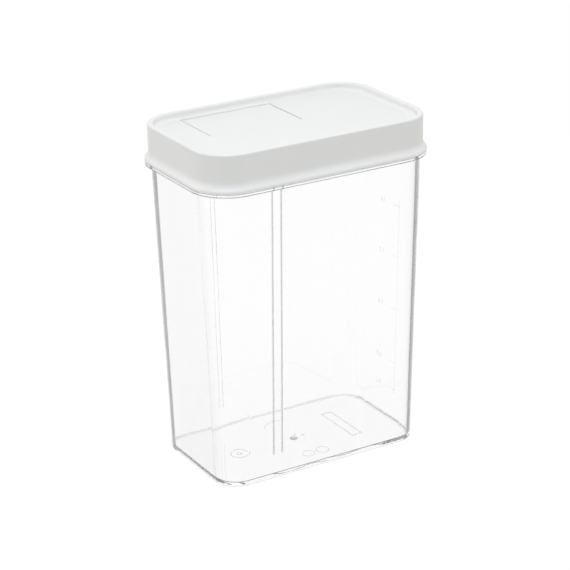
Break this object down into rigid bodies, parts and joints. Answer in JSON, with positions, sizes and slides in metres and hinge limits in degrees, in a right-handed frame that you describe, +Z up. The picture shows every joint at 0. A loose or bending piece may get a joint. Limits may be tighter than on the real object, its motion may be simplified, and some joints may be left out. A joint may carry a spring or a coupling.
{
  "type": "grain container",
  "caption": "Clear tapered rectangular keeper for grain or cereal, with a white lift-off lid that has a recessed top and a hinged pour flap.",
  "frame": {"origin": "centre of the underside, on the surface that the container stands on", "axes": "+X along the long side, +Y from the front to the rear, +Z up; the pour flap's free edge is at the rear"},
  "size_m": [0.1592, 0.1014, 0.2141],
  "materials": {
    "clear_plastic": "clear, high gloss",
    "white_plastic": "white, fine satin"
  },
  "bodies": {
    "container": {"container": "clear_plastic"},
    "lid": {"lid": "white_plastic"},
    "flap": {"pour_flap": "white_plastic"}
  },
  "joints": [
    {"name": "lid_lift", "type": "slide", "parent": "container", "child": "lid", "axis": [0, 0, 1], "range_m": [0, 0.06]},
    {"name": "flap_hinge", "type": "hinge", "parent": "lid", "child": "flap", "pos_m": [-0.018, 0.0045, 0.2087], "axis": [1, 0, 0], "range_deg": [0, 100]}
  ]
}
